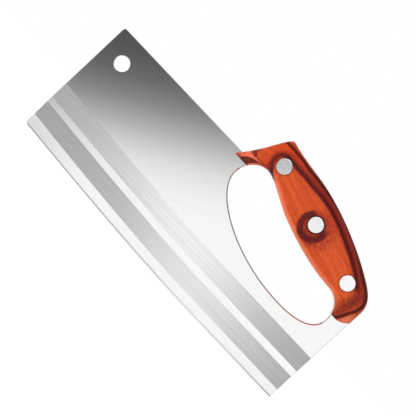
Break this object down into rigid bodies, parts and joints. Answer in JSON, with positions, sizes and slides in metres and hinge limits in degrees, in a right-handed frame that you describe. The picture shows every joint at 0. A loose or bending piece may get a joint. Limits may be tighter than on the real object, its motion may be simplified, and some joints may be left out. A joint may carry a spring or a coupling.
{
  "type": "meat cleaver",
  "caption": "Steel cleaver with a wide ground blade, a closed D-shaped frame for the fingers, riveted red wooden grip scales on its upper bar, and a hang hole.",
  "frame": {"origin": "on the ground under the middle of the cleaver's length, with the cutting edge down and the middle of the steel at Y = 0", "axes": "+X from the front end of the blade towards the heel and the grip's rear foot, +Z from the cutting edge towards the spine, +Y through the thickness; the side with the rivet sockets faces -Y"},
  "size_m": [0.22, 0.022, 0.1151],
  "materials": {
    "blade_steel": "polished stainless steel with two fine-brushed grind bands and a bright bevel",
    "grip_wood": "orange-red dyed laminated hardwood with dark growth lines, lacquered",
    "rivet_steel": "satin stainless steel, ground flush"
  },
  "bodies": {
    "root": {"blade": "blade_steel", "grip_scale_front": "grip_wood", "grip_scale_back": "grip_wood", "rivet_socket_1": "rivet_steel", "rivet_socket_2": "rivet_steel", "rivet_socket_3": "rivet_steel", "rivet_pin_1": "rivet_steel", "rivet_pin_2": "rivet_steel", "rivet_pin_3": "rivet_steel"}
  },
  "joints": []
}
